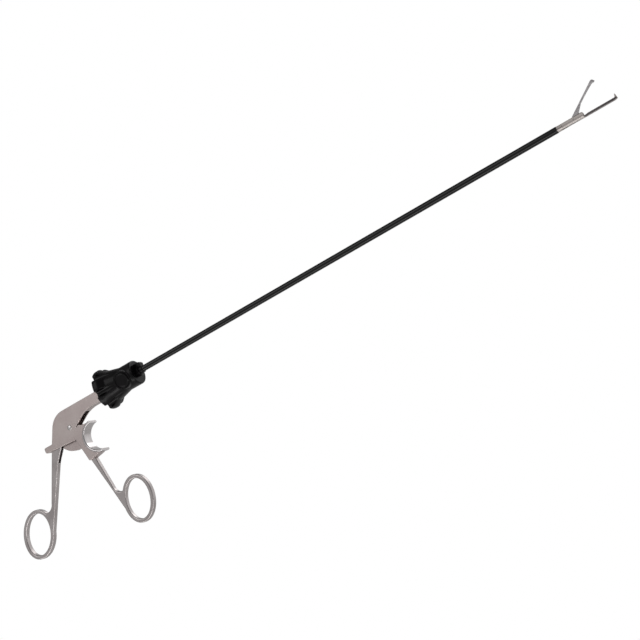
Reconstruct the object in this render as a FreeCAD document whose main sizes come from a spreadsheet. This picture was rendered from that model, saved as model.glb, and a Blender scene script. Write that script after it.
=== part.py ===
import FreeCAD, Part
import Sketcher
import math
import os
import re

# A 5 mm laparoscopic grasper with a ring handle, jaws open, thumb ring at its rest stop.
# X runs along the shaft towards the jaws, Z is up and the rings hang below, Y is across the handle.
# The origin lies on the shaft axis in the front face of the index collar, where the free shaft starts.

Vector = FreeCAD.Vector
doc = FreeCAD.newDocument("Grasper")

# Every driving size, in millimetres and degrees.
sizeList = [
    # shaft
    ("shaftLength", 374.8, "free length of the black sleeve"),
    ("sleeveR", 2.5, "outer radius of the sleeve"),
    ("sleeveWall", 0.3, "wall of the sleeve"),
    ("tubeWall", 0.5, "wall of the steel tube"),
    ("rodR", 1.0, "radius of the pull rod"),
    ("seatGap", 0.02, "radial gap of glued, pressed and brazed seats"),
    ("runGap", 0.05, "radial gap of running fits"),
    ("slideGap", 0.1, "gap beside plates that slide or swing"),
    ("endGap", 0.3, "gap at the ends of turning pieces"),
    ("cutOver", 1, "overrun of cuts past a face"),
    ("rodRoom", 0.3, "radial room about the rod inside the collar"),
    # knob
    ("knobLength", 35, "length of the rotation knob"),
    ("knobNoseR", 10.2, "radius of the knob's front part"),
    ("knobLobeR", 17, "radius over the lobes"),
    ("knobLobeLength", 4.6, "length of the lobes at full radius"),
    ("knobWaistX", 10.2, "end of the lobes' front shoulder from the knob's rear end"),
    ("knobWaistR", 13, "radius at the end of that shoulder"),
    ("knobNoseX", 21.5, "start of the knob's front part from its rear end"),
    ("knobLobes", 7, "number of lobes, one of them at the bottom"),
    ("fluteRearR", 2.7, "radius of a flute at the rear end"),
    ("fluteFrontR", 3.3, "radius of a flute at the front end"),
    ("fluteRearFloor", 13.7, "distance of the flute floor from the axis at the rear end"),
    ("fluteFrontFloor", 10.4, "distance of the flute floor from the axis at the front end"),
    ("fluteOver", 3, "overrun of the flutes behind the knob"),
    ("lobeEdgeR", 1.5, "radius of the lobes' rear edge"),
    ("lobeFrontR", 5, "radius of the lobes' front shoulder"),
    ("noseEdgeR", 0.8, "radius of the front edge"),
    ("knobWall", 8, "thickness of the knob's front wall"),
    ("knobLatchRoom", 4.2, "room for the latch plate behind the front wall"),
    ("knobSeatLength", 7, "length of the knob's seat on the hub"),
    ("knobRearBoreR", 7.1, "radius of the knob's rear bore, clear of the socket"),
    # release button
    ("buttonR", 6.2, "radius of the release button"),
    ("buttonAngle", 102, "angle of the button from the top towards the near side"),
    ("buttonInset", 10, "place of the button and latch behind the knob's front face"),
    ("buttonFace", 11.6, "distance of the button's face from the axis"),
    ("buttonDepth", 3.2, "thickness of the button"),
    ("buttonEdge", 0.6, "bevel of the button's edge"),
    ("buttonRim", 1.8, "step from the button's edge to its sunken face"),
    ("buttonDish", 0.4, "depth of the button's sunken face"),
    ("bossR", 7.7, "radius of the round boss about the button"),
    ("bossRoot", 6, "distance of the boss's root from the axis"),
    ("bossFace", 11.1, "distance of the boss's face from the axis"),
    ("buttonTravel", 1.3, "inward travel of the button"),
    ("latchThick", 1.2, "thickness of the latch plate"),
    ("latchWidth", 9, "width of the latch plate"),
    ("latchLow", 6, "reach of the latch plate past the axis"),
    ("latchRoomR", 9, "radius of the room for the latch plate"),
    ("springR", 1.5, "mean radius of the latch spring"),
    ("springWire", 0.25, "wire radius of the latch spring"),
    ("springTurns", 3, "turns of the latch spring"),
    ("springGap", 0.05, "gap at each end of the latch spring"),
    # hub, collar and socket
    ("collarR", 3.4, "radius of the shaft collar"),
    ("collarGroove", 0.7, "depth of the latch groove in the collar"),
    ("hubFlangeR", 5.5, "radius of the hub's flange, the seat of the knob"),
    ("hubJournalR", 4.2, "radius of the hub's journal"),
    ("hubInset", 0.8, "step from the socket's rear face to the hub's rear end"),
    ("hubEnd", 5.2, "length of the hub behind the shaft collar"),
    ("socketR", 6.5, "outer radius of the frame's socket"),
    ("armGap", 1, "gap between the knob and the arm"),
    ("rodBoreR", 1.6, "radius of the rod's bore through the arm"),
    ("bushWall", 0.6, "wall of the socket bush"),
    ("bushLength", 8, "length of the socket bush"),
    ("dowelR", 0.75, "radius of the tangent pins that hold the hub"),
    ("dowelInset", 3.5, "place of the tangent pins ahead of the socket's rear face"),
    ("dowelLength", 9.2, "length of the tangent pins"),
    ("sealR", 0.42, "section radius of the seal rings"),
    ("sealInset", 8, "place of the hub seal ahead of the collar's rear end"),
    ("tubeInset", 4, "place of the steel tube's rear end ahead of the collar's"),
    ("capR", 3, "radius of the seal cap"),
    ("capThick", 0.8, "thickness of the seal cap"),
    ("indexR", 4.3, "radius of the index collar"),
    ("indexNoseR", 3.1, "radius of the index collar's nose under the lug"),
    ("indexEdge", 0.4, "bevel of the index collar"),
    ("indexLength", 3.2, "length of the index collar"),
    ("lugReach", 6.3, "height of the index lug above the axis"),
    ("lugLength", 6.2, "length of the index lug"),
    ("lugWidth", 4.6, "width of the index lug"),
    ("lugEdge", 1.2, "bevel of the index lug"),
    # handle frame
    ("frameWidth", 8.2, "width of the frame across both cheeks"),
    ("cheekGap", 5.6, "gap between the cheeks"),
    ("armTop", 2.6, "top of the arm above the axis"),
    ("armLow", 6.6, "underside of the arm below the axis"),
    ("cavityTop", 1.95, "roof of the slot above the axis"),
    ("cavityFront", -64, "front end of the slot"),
    ("cavityDrop", 2.4, "reach of the slot's front end below the arm"),
    ("slotBelow", 4, "reach of the slot below the frame"),
    ("stopRise", 1.6, "height of the stop face above the thumb shank's corner"),
    ("spineWall", 1.6, "wall behind the slot"),
    ("rearTopX", -95.6, "corner of the arm's top line and the rear line"),
    ("rearLowX", -107, "foot of the rear line at the heel"),
    ("rearRound", 17, "radius of the frame's rounded rear corner"),
    ("heelX", -115.8, "rear end of the heel"),
    ("heelTop", -18.2, "top of the heel"),
    ("heelLow", -22.9, "underside of the heel"),
    ("bendX", -63.7, "corner of the arm's underside and the cheek's front line"),
    ("bendRound", 28, "radius of the cheek's hollow front line"),
    ("notchX", -80.2, "inner end of the notch above the neck"),
    ("notchZ", -16.5, "height of the inner end of the notch"),
    ("cheekNoseX", -74.4, "end of the cheek's front line"),
    ("cheekNoseZ", -12.9, "height of the end of the cheek's front line"),
    ("neckX", -75.4, "top corner of the neck"),
    ("neckZ", -14.6, "height of the neck's top corner"),
    ("neckMidX", -73.4, "end of the neck's sloping face"),
    ("neckMidZ", -15.9, "height of the end of the neck's sloping face"),
    ("neckFrontX", -68.2, "front of the neck under the rest's upper lip"),
    ("neckFrontZ", -16.6, "height of the neck where it meets the finger rest"),
    ("slitX", -83.2, "front end of the lower slit"),
    ("slitWall", 0.9, "step from the lower slit to the slot between the cheeks"),
    ("slitZ", -24.9, "height of the front end of the lower slit"),
    ("blockX", -78.3, "lower rear corner of the block"),
    ("blockZ", -45.8, "height of the block's lower rear corner"),
    ("blockFrontX", -66.2, "front of the block under the finger rest"),
    ("blockFrontZ", -43.5, "height of the block's lower front corner"),
    ("cornerR", 1.2, "radius of the heel's corners"),
    ("notchR", 0.2, "radius of the notch's corners"),
    ("edgeR", 0.5, "radius of the frame's outer edges"),
    ("webThick", 2.4, "thickness of the web between the cheeks"),
    ("webInnerR", 6.3, "radius of the web's upper edge about the pivot"),
    ("webRootTurn", 30, "turn of the web's upper edge past its root"),
    ("webRootRise", 3, "growth of the web's upper edge at its root"),
    ("webR", 19.4, "radius of the web's lower edge about the pivot"),
    ("webStart", 300, "angle of the web's root in the block about the pivot"),
    ("webEnd", 218, "angle of the web's rear end about the pivot"),
    # finger rest
    ("restX", -62.7, "centre of the finger rest along the shaft"),
    ("restZ", -29.8, "height of the finger rest's centre"),
    ("restR", 11.6, "inner radius of the finger rest"),
    ("restWall", 2.1, "wall of the finger rest"),
    ("restLipR", 1.1, "radius of the finger rest's rounded rims"),
    ("restWidth", 11.4, "width of the finger rest"),
    ("restTopAngle", 96, "angle of the rest's upper lip from the shaft direction"),
    ("restLowAngle", 272, "angle of the rest's lower lip from the shaft direction"),
    # finger ring
    ("fingerX", -50.3, "centre of the finger ring along the shaft"),
    ("fingerZ", -91.2, "height of the finger ring's centre"),
    ("fingerLong", 16.4, "inner half length of the finger ring"),
    ("fingerShort", 11.4, "inner half width of the finger ring"),
    ("fingerTilt", 76.8, "lean of the finger ring's long axis from the shaft direction"),
    ("fingerThick", 4.6, "thickness of the finger ring across the handle"),
    ("fingerBackX", -77.8, "rear edge of the finger shank at the block"),
    ("fingerBackMidX", -71.1, "rear edge of the finger shank at half height"),
    ("fingerBackMidZ", -71.0, "height of that point"),
    ("fingerBackLowX", -63.6, "rear edge of the finger shank at the ring"),
    ("fingerBackLowZ", -100.4, "height of that point"),
    ("fingerFrontX", -73.2, "front edge of the finger shank at the block"),
    ("fingerCrotchX", -68.3, "front edge of the finger shank at the hollow above the ring"),
    ("fingerCrotchZ", -73.6, "height of that point"),
    ("fingerCrotchR", 6.5, "radius of the hollow between the finger shank and the ring"),
    ("fingerJoinX", -55.9, "end of that hollow in the ring"),
    ("fingerJoinZ", -75.9, "height of the end of that hollow"),
    ("ringEdgeR", 0.9, "radius of the long edges of both rings"),
    ("tenonInset", 0.8, "step from the finger shank's edges to its tenon"),
    ("tenonWidth", 2.6, "thickness of the tenon of the finger shank"),
    ("tenonLength", 5, "length of the tenon of the finger shank"),
    # thumb ring
    ("pivotX", -84.4, "handle pivot along the shaft"),
    ("pivotDrop", 13.3, "depth of the handle pivot below the shaft axis"),
    ("openTilt", 8, "forward lean of the drive lever at rest, half of its swing"),
    ("thumbThick", 5, "thickness of the thumb ring across the handle"),
    ("hubR", 4.7, "radius of the thumb ring's hub"),
    ("shankTopAngle", 115, "angle of the shank's top line at the hub about the pivot"),
    ("shankLowAngle", 282, "angle of the shank's underside at the hub about the pivot"),
    ("leverHalf", 3.3, "half width of the drive lever"),
    ("leverOver", 1.0, "height of the lever above the ball's centre"),
    ("forkDepth", 2, "depth of the lever's fork below the ball's centre"),
    ("forkGap", 0.03, "gap beside the ball in the lever's fork"),
    ("forkOver", 3, "reach of the fork's cut past the ball's centre"),
    ("rodNotch", 1.3, "half width of the notch for the rod in the lever's front prong"),
    ("ballR", 1.7, "radius of the rod's ball end"),
    ("ballHalf", 1.2, "half length of the rod's ball end"),
    ("thumbX", -154.7, "centre of the thumb ring along the shaft"),
    ("thumbZ", -79.5, "height of the thumb ring's centre"),
    ("thumbLong", 17.6, "inner half length of the thumb ring"),
    ("thumbShort", 12.4, "inner half width of the thumb ring"),
    ("thumbTilt", 243.2, "lean of the thumb ring's long axis from the shaft direction"),
    ("ringBar", 3.2, "radial thickness of both rings"),
    ("shankBackX", -110, "upper rear corner of the thumb shank"),
    ("shankBackZ", -20.8, "height of the thumb shank's upper rear corner"),
    ("shankBackLowX", -130.8, "rear line of the thumb shank at its lower end"),
    ("shankBackLowZ", -61.5, "height of the lower end of the thumb shank's rear line"),
    ("shankJoinX", -141.3, "end of the hollow between the thumb shank and the ring"),
    ("shankJoinZ", -66.0, "height of the end of that hollow"),
    ("shankJoinR", 7.5, "radius of the hollow between the thumb shank and the ring"),
    ("shankLowX", -142, "lower end of the thumb shank's front line, in the ring's side"),
    ("shankLowZ", -87.6, "height of that point"),
    ("shankFrontX", -109.8, "front line of the thumb shank at its bend"),
    ("shankFrontZ", -34.4, "height of that point"),
    ("shankUnderX", -99.2, "underside of the thumb shank below the slot"),
    ("shankUnderZ", -22.3, "height of that point"),
    ("shankBendR", 25, "radius of the bend of the shank's front line"),
    ("slotStart", 5.9, "start of the thumb shank's slot from the pivot"),
    ("slotReach", 33, "reach of the thumb shank's slot from the pivot"),
    ("slotTopAngle", 160, "angle of the slot's upper end about the pivot"),
    ("slotLowAngle", 330, "angle of the slot's lower end about the pivot"),
    ("slotWidth", 2.9, "width of the thumb shank's slot"),
    ("stopGap", 0.1, "gap between the thumb shank and the heel at rest"),
    # handle pivot
    ("pinR", 1.6, "radius of the handle pivot"),
    ("pinHeadR", 2.2, "radius of the handle pivot's domed head"),
    ("pinHeadHeight", 0.5, "height of the domed head"),
    ("nutR", 2.6, "radius of the pivot nut"),
    ("nutHeight", 0.9, "height of the pivot nut"),
    ("nutBore", 0.65, "depth of the pivot nut's bore"),
    ("pinInNut", 0.55, "length of the pivot in its nut"),
    ("washerR", 3.6, "radius of the pivot washers"),
    # jaws
    ("yokeR", 2.3, "radius of the yoke"),
    ("yokeFlat", 1.95, "half width across the yoke's side flats"),
    ("flatStart", 4, "start of the flats from the end of the sleeve"),
    ("yokeEdge", 0.5, "bevel of the yoke's end"),
    ("yokeLength", 20.3, "length of the yoke's cheeks from the end of the sleeve"),
    ("spigotLength", 8, "length of the yoke's spigot inside the tube"),
    ("jawSlotHalf", 1.03, "half width of the yoke's slot"),
    ("jawSlotStart", 2.6, "start of the slot from the end of the sleeve"),
    ("jawPivotX", 13, "jaw pivot from the end of the sleeve"),
    ("jawPinR", 0.55, "radius of the jaw pivot"),
    ("jawOpen", 36, "opening angle of the moving jaw"),
    ("tailArm", 4.6, "distance of the drive pin from the jaw pivot"),
    ("tailR", 0.8, "radius of the jaw's tail about the drive pin"),
    ("drivePinR", 0.4, "radius of the drive pin"),
    ("tangHalf", 0.5, "half thickness of the drive tang"),
    ("tangReach", 2.15, "half height of the drive tang"),
    ("tangLip", 0.36, "lip of the drive tang behind its cam slot"),
    ("tangFrontLip", 0.5, "lip of the drive tang ahead of its cam slot"),
    ("tangCorner", 1.1, "bevel of the tang's upper rear corner"),
    ("tangClear", 2.2, "end of the tang's lower edge from the jaw pivot"),
    ("tangNose", 0.2, "depth of the tang's nose below the axis"),
    ("tangPinGap", 0.25, "radial gap between the tang and the jaw pivot"),
    ("jawReach", 44.8, "tip of the fixed jaw from the end of the sleeve"),
    ("fixedTop", -1.0, "upper face of the fixed jaw"),
    ("fixedHalf", 1.1, "half width of the fixed jaw"),
    ("barInset", 0.15, "step from the yoke's radius to the fixed jaw's underside"),
    ("barRoot", 1.2, "overlap of the fixed jaw's bar with the yoke"),
    ("tipTaper", 1.6, "length of the bevel under the fixed jaw's tip"),
    ("tipThick", 0.7, "thickness of the fixed jaw at its tip"),
    ("toothTop", 1.6, "height of the fixed jaw's teeth above the axis"),
    ("toothGap", 0.55, "half gap between the fixed jaw's two teeth"),
    ("toothLength", 1.8, "length of the teeth's root along the jaw"),
    ("toothRoot", 0.3, "depth of the teeth's root in the jaw"),
    ("toothCrest", 0.5, "length of the teeth's crest along the jaw"),
    ("toothLean", 0.4, "step from the jaw's tip to the teeth's crest"),
    ("jawBarLow", 1.1, "underside of the closed moving jaw above the axis"),
    ("jawBarTop", 2.15, "top of the closed moving jaw above the axis"),
    ("jawBarHalf", 0.85, "half width of the moving jaw's bar"),
    ("jawHubR", 2, "radius of the moving jaw's hub"),
    ("jawStepX", 11.7, "rear end of the moving jaw's straight underside from its pivot"),
    ("jawHeelX", 7.1, "lower end of the jaw's sloping underside from its pivot"),
    ("jawHeelZ", -0.1, "height of that point"),
    ("jawBellyX", 5.3, "front end of the jaw's belly from its pivot"),
    ("jawBellyZ", -0.7, "height of the jaw's belly"),
    ("jawThroatX", 1.6, "rear end of the jaw's belly from its pivot"),
    ("jawRootX", 6, "end of the jaw's wide root from its pivot"),
    ("tailRoot", 0.4, "place of the tail's root behind the pivot"),
    ("tailTopDrop", 0.1, "step from the hub's top to the tail's upper line"),
    ("tailLowRise", 0.6, "step from the hub's foot to the tail's lower line"),
    ("tangSlotFront", 1.7, "front end of the jaw's slot for the tang from the pivot"),
    ("jawHalf", 1, "half width of the moving jaw's hub"),
    ("hookX", 29, "reach of the moving jaw from its pivot"),
    ("hookLength", 1.3, "length of the moving jaw's hook along the jaw"),
    ("hookRound", 0.9, "bevel of the moving jaw's tip"),
    ("hookLow", -0.7, "tip of the moving jaw's hook against the axis, closed"),
    ("hookHalf", 0.4, "half width of the moving jaw's hook"),
]

sheet = doc.addObject("Spreadsheet::Sheet", "Sizes")
for row, (alias, number, note) in enumerate(sizeList, start=1):
    sheet.set("A%d" % row, note)
    sheet.set("B%d" % row, str(number))
    sheet.setAlias("B%d" % row, alias)
doc.recompute()
aliases = sorted((entry[0] for entry in sizeList), key=len, reverse=True)
aliasPattern = re.compile(r"\b(" + "|".join(aliases) + r")\b")


def bound(formula):
    """Formula with each size name pointing at its cell."""
    return aliasPattern.sub(r"Sizes.\1", formula)


def value(formula):
    """Number that a formula gives with the sizes as they are."""
    result = sheet.evalExpression(bound(formula))
    return float(getattr(result, "Value", result))


def originPlane(body, role):
    return [item for item in body.Origin.OriginFeatures if item.Role == role][0]


def newBody(label):
    body = doc.addObject("PartDesign::Body", label)
    body.Label = label
    return body


def newSketch(body, name, role="XZ_Plane", lift=None):
    """Empty sketch on an origin plane of its own body, lifted off it by a formula."""
    sketch = body.newObject("Sketcher::SketchObject", name)
    sketch.AttachmentSupport = [(originPlane(body, role), "")]
    sketch.MapMode = "FlatFace"
    if lift:
        sketch.setExpression("AttachmentOffset.Base.z", bound(lift))
    return sketch


def fix(sketch, kind, geometry, point, formula):
    """Ties one coordinate of a sketch point to a formula of the sizes."""
    index = sketch.addConstraint(Sketcher.Constraint(kind, -1, 1, geometry, point, value(formula)))
    sketch.setExpression("Constraints[%d]" % index, bound(formula))


def outline(body, name, corners, role="XZ_Plane", lift=None):
    """Closed outline. A corner is (x, z), or (x, z, radius, turn) where an arc leads on from it."""
    sketch = newSketch(body, name, role, lift)
    count = len(corners)
    spots = [Vector(value(corner[0]), value(corner[1]), 0) for corner in corners]
    ends = []
    for index, corner in enumerate(corners):
        start = spots[index]
        finish = spots[(index + 1) % count]
        if len(corner) == 2:
            sketch.addGeometry(Part.LineSegment(start, finish), False)
            ends.append((1, 2))
            continue
        turn = corner[3]
        first, last = (start, finish) if turn > 0 else (finish, start)
        chord = last - first
        rise = math.sqrt(max(value(corner[2]) ** 2 - chord.Length ** 2 / 4, 0))
        side = Vector(-chord.y, chord.x, 0).normalize()
        centre = first + chord * 0.5 + side * rise
        circle = Part.Circle(centre, Vector(0, 0, 1), value(corner[2]))
        sketch.addGeometry(Part.ArcOfCircle(circle, circle.parameter(first), circle.parameter(last)), False)
        ends.append((1, 2) if turn > 0 else (2, 1))
    for index in range(count):
        following = (index + 1) % count
        sketch.addConstraint(Sketcher.Constraint(
            "Coincident", index, ends[index][1], following, ends[following][0]))
    for index, corner in enumerate(corners):
        fix(sketch, "DistanceX", index, ends[index][0], corner[0])
        fix(sketch, "DistanceY", index, ends[index][0], corner[1])
        if len(corner) > 2:
            number = sketch.addConstraint(Sketcher.Constraint("Radius", index, value(corner[2])))
            sketch.setExpression("Constraints[%d]" % number, bound(corner[2]))
    return sketch


def disc(body, name, x, z, radius, role="XZ_Plane", lift=None):
    """Sketch of one circle."""
    sketch = newSketch(body, name, role, lift)
    circle = Part.Circle(Vector(value(x), value(z), 0), Vector(0, 0, 1), value(radius))
    sketch.addGeometry(circle, False)
    fix(sketch, "DistanceX", 0, 3, x)
    fix(sketch, "DistanceY", 0, 3, z)
    number = sketch.addConstraint(Sketcher.Constraint("Radius", 0, value(radius)))
    sketch.setExpression("Constraints[%d]" % number, bound(radius))
    return sketch


def oval(body, name, x, z, halfLong, halfShort, tilt):
    """Sketch of one ellipse whose long axis leans by tilt degrees."""
    sketch = newSketch(body, name)
    centre = Vector(value(x), value(z), 0)
    lean = math.radians(value(tilt))
    longEnd = centre + Vector(math.cos(lean), math.sin(lean), 0) * value(halfLong)
    shortEnd = centre + Vector(-math.sin(lean), math.cos(lean), 0) * value(halfShort)
    sketch.addGeometry(Part.Ellipse(longEnd, shortEnd, centre), False)
    sketch.exposeInternalGeometry(0)
    fix(sketch, "DistanceX", 0, 3, x)
    fix(sketch, "DistanceY", 0, 3, z)
    for line, half in ((1, halfLong), (2, halfShort)):
        number = sketch.addConstraint(Sketcher.Constraint("Distance", line, 2 * value(half)))
        sketch.setExpression("Constraints[%d]" % number, bound("2 * (" + half + ")"))
    number = sketch.addConstraint(Sketcher.Constraint("Angle", 1, lean))
    sketch.setExpression("Constraints[%d]" % number, bound("(" + tilt + ") * 1deg"))
    return sketch


def extrude(body, sketch, thickness, kind="Pad", centred=True, backwards=False):
    """Pad or Pocket of a sketch, centred on its plane unless told otherwise."""
    feature = body.newObject("PartDesign::" + kind, sketch.Name + kind)
    feature.Profile = sketch
    feature.setExpression("Length", bound(thickness))
    feature.Midplane = centred
    feature.Reversed = backwards
    return feature


def spin(body, sketch, kind="Revolution"):
    """Revolution or Groove of a sketch about its horizontal axis."""
    feature = body.newObject("PartDesign::" + kind, sketch.Name + kind)
    feature.Profile = sketch
    feature.ReferenceAxis = (sketch, ["H_Axis"])
    feature.Angle = 360
    return feature


def turned(label, corners):
    """Body turned about the X axis from an outline of (place along the axis, radius)."""
    body = newBody(label)
    spin(body, outline(body, label + "Profile", corners))
    return body


def ringOf(label, start, end, inner, outer):
    """Plain turned sleeve."""
    return turned(label, [(start, inner), (end, inner), (end, outer), (start, outer)])


def roundOff(body, radius, wanted, name, kind="Fillet"):
    """Fillet or chamfer on the edges of the body's last feature that wanted picks."""
    doc.recompute()
    last = body.Tip
    names = ["Edge%d" % (index + 1) for index, edge in enumerate(last.Shape.Edges) if wanted(edge)]
    feature = body.newObject("PartDesign::" + kind, name)
    feature.Base = (last, names)
    feature.setExpression("Radius" if kind == "Fillet" else "Size", bound(radius))
    return feature


def acrossAt(*places):
    """Picks the edges that run along Y through the given (x, z) formulas."""
    spots = [(value(x), value(z)) for x, z in places]

    def wanted(edge):
        box = edge.BoundBox
        if box.XLength > 0.01 or box.ZLength > 0.01:
            return False
        return any(math.hypot(box.XMin - x, box.ZMin - z) < 0.02 for x, z in spots)
    return wanted


def along(label, x="0", y="0", z="0", turn=None):
    """Puts a body at a place given by formulas, turned by a fixed rotation."""
    body = doc.getObject(label)
    if turn:
        body.Placement = FreeCAD.Placement(Vector(0, 0, 0), turn)
    for axis, formula in (("x", x), ("y", y), ("z", z)):
        if formula != "0":
            body.setExpression("Placement.Base." + axis, bound(formula))


acrossY = FreeCAD.Rotation(Vector(0, 0, 1), -90)

# Places that several pieces share, each worked out once from the sizes.
knobFront = "(-lugLength)"
knobRear = "(-lugLength - knobLength)"
socketBack = "(" + knobRear + " - armGap)"
roomFront = "(" + knobFront + " - knobWall)"
seatFront = "(" + roomFront + " - knobLatchRoom)"
seatBack = "(" + seatFront + " - knobSeatLength)"
socketFront = "(" + seatBack + " - endGap)"
buttonPlace = "(" + knobFront + " - buttonInset)"
hubBack = "(" + socketBack + " + hubInset)"
collarBack = "(" + hubBack + " + hubEnd)"
tubeBack = "(" + collarBack + " + tubeInset)"
dowelPlace = "(" + socketBack + " + dowelInset)"
tubeR = "(sleeveR - sleeveWall - seatGap)"
leverReach = "(pivotDrop / cos(openTilt))"
rodTravel = "(2 * pivotDrop * tan(openTilt))"
ballX = "(pivotX + pivotDrop * tan(openTilt))"
jawPivot = "(shaftLength + jawPivotX)"
tailTilt = "(jawOpen / 2)"
tangBack = "(" + jawPivot + " - tailArm - drivePinR - tangLip)"


def lever(reach, side):
    """Point of the drive lever: reach along it from the pivot, side towards the jaws."""
    return ("pivotX + (%s) * sin(openTilt) + (%s) * cos(openTilt)" % (reach, side),
            "-pivotDrop + (%s) * cos(openTilt) - (%s) * sin(openTilt)" % (reach, side))


def aroundPivot(radius, angle):
    """Point at a radius and an angle about the handle pivot."""
    return ("pivotX + (%s) * cos(%s)" % (radius, angle), "-pivotDrop + (%s) * sin(%s)" % (radius, angle))


def outwards(angle):
    """Unit vector across the shaft at an angle from the top towards the near side."""
    lean = math.radians(angle)
    return Vector(0, -math.sin(lean), math.cos(lean))


def facing(direction):
    """Rotation that turns the Z axis into a direction."""
    return FreeCAD.Rotation(Vector(0, 0, 1), direction)


def blockFoot(x):
    """Height of the block's sloping underside at a place along the shaft."""
    return "blockZ + ((%s) - blockX) * (blockFrontZ - blockZ) / (blockFrontX - blockX)" % x


def tenonCorners(gap):
    """Outline of the tenon in line with the finger shank's rear edge, grown by a gap."""
    fall = "sqrt((fingerBackMidX - fingerBackX)^2 + (fingerBackMidZ - blockZ)^2)"
    stepX = "((tenonLength + %s) * (fingerBackX - fingerBackMidX) / %s)" % (gap, fall)
    stepZ = "((tenonLength + %s) * (blockZ - fingerBackMidZ) / %s)" % (gap, fall)
    rear = "(fingerBackX + tenonInset - %s)" % gap
    front = "(fingerFrontX - tenonInset + %s)" % gap
    return [(rear, blockFoot(rear)), (front, blockFoot(front)),
            (front + " + " + stepX, blockFoot(front) + " + " + stepZ),
            (rear + " + " + stepX, blockFoot(rear) + " + " + stepZ)]


def handleFrame():
    body = newBody("handle_frame")
    plate = outline(body, "FrameSide", [
        (socketBack, "armTop"),
        ("rearTopX", "armTop"),
        ("rearLowX", "heelTop"),
        ("heelX", "heelTop"),
        ("heelX", "heelLow"),
        ("slitX", "slitZ"),
        ("blockX", "blockZ"),
        ("blockFrontX", "blockFrontZ"),
        ("neckFrontX", "neckFrontZ"),
        ("neckMidX", "neckMidZ"),
        ("neckX", "neckZ"),
        ("notchX", "notchZ"),
        ("cheekNoseX", "cheekNoseZ"),
        ("bendX", "-armLow"),
        (socketBack, "-armLow"),
    ])
    extrude(body, plate, "frameWidth")
    roundOff(body, "rearRound", acrossAt(("rearTopX", "armTop")), "RearCorner")
    roundOff(body, "bendRound", acrossAt(("bendX", "-armLow")), "HollowFront")
    roundOff(body, "cornerR", acrossAt(
        ("rearLowX", "heelTop"), ("heelX", "heelTop"), ("heelX", "heelLow"),
        ("slitX", "slitZ"), ("blockX", "blockZ")), "FrameCorners")
    roundOff(body, "notchR", acrossAt(
        ("neckMidX", "neckMidZ"), ("neckX", "neckZ"), ("notchX", "notchZ"),
        ("cheekNoseX", "cheekNoseZ")), "NotchCorners")

    def rim(edge):
        flat = abs(edge.BoundBox.YMin - edge.BoundBox.YMax) < 0.01
        onFace = abs(abs(edge.BoundBox.YMin) - value("frameWidth / 2")) < 0.01
        front = edge.BoundBox.XMax > value(socketBack) - 0.01 and edge.BoundBox.XLength < 0.01
        return flat and onFace and not front

    roundOff(body, "edgeR", rim, "OuterEdges")
    slope = "((rearTopX - rearLowX) / (armTop - heelTop))"
    wall = "(spineWall * sqrt(1 + " + slope + "^2))"
    cornerZ = "(heelTop + cornerR)"
    fall = "(shankBackLowZ - shankBackZ)"
    run = "(shankBackLowX - shankBackX)"
    backLength = "sqrt(" + fall + "^2 + " + run + "^2)"
    stopX = "(shankBackX + stopGap * " + fall + " / " + backLength + ")"
    stopZ = "(shankBackZ - stopGap * " + run + " / " + backLength + ")"
    lowZ = "(heelLow - slotBelow)"
    stopLowX = "(" + stopX + " + (" + lowZ + " - " + stopZ + ") * " + run + " / " + fall + ")"
    slot = outline(body, "CheekSlot", [
        ("cavityFront", "cavityTop"),
        ("rearTopX + (cavityTop - armTop) * " + slope + " + " + wall, "cavityTop"),
        ("rearLowX + cornerR * " + slope + " + " + wall, cornerZ),
        (stopX + " + stopRise", stopZ + " + stopRise"),
        (stopX, stopZ),
        (stopLowX, lowZ),
        ("slitX - slitWall", lowZ),
        ("notchX", "notchZ"),
        ("neckX", "neckZ"),
        ("neckFrontX", "neckZ"),
        ("cavityFront", "-armLow - cavityDrop"),
    ])
    extrude(body, slot, "cheekGap", "Pocket")
    web = outline(body, "WebSide", [
        aroundPivot("webInnerR", "webEnd"),
        aroundPivot("webR", "webEnd") + ("webR", 1),
        aroundPivot("webR", "webStart"),
        aroundPivot("webInnerR + webRootRise", "webStart + webRootTurn"),
        aroundPivot("webInnerR", "webStart + webRootTurn") + ("webInnerR", -1),
    ])
    extrude(body, web, "webThick")
    seat = disc(body, "RestSeat", "restX", "restZ", "restR + restWall")
    extrude(body, seat, "frameWidth + cutOver", "Pocket")
    spin(body, outline(body, "Socket", [
        (socketBack, "0"), (socketFront, "0"), (socketFront, "socketR"), (socketBack, "socketR")]))
    spin(body, outline(body, "SocketBores", [
        (socketFront, "0"),
        (socketFront, "hubJournalR + runGap + bushWall + seatGap"),
        (socketFront + " - bushLength", "hubJournalR + runGap + bushWall + seatGap"),
        (socketFront + " - bushLength", "hubJournalR + runGap"),
        (hubBack + " - endGap", "hubJournalR + runGap"),
        (hubBack + " - endGap", "rodBoreR"),
        ("cavityFront - cutOver", "rodBoreR"),
        ("cavityFront - cutOver", "0"),
    ]), "Groove")
    for name, side in (("UpperDowelBore", "hubJournalR"), ("LowerDowelBore", "-hubJournalR")):
        extrude(body, disc(body, name, dowelPlace, side, "dowelR + seatGap"), "2 * socketR", "Pocket")
    extrude(body, disc(body, "PivotBore", "pivotX", "-pivotDrop", "pinR + seatGap"),
            "frameWidth + cutOver", "Pocket")
    extrude(body, outline(body, "Mortise", tenonCorners("seatGap")), "tenonWidth + 2 * seatGap", "Pocket")


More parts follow.
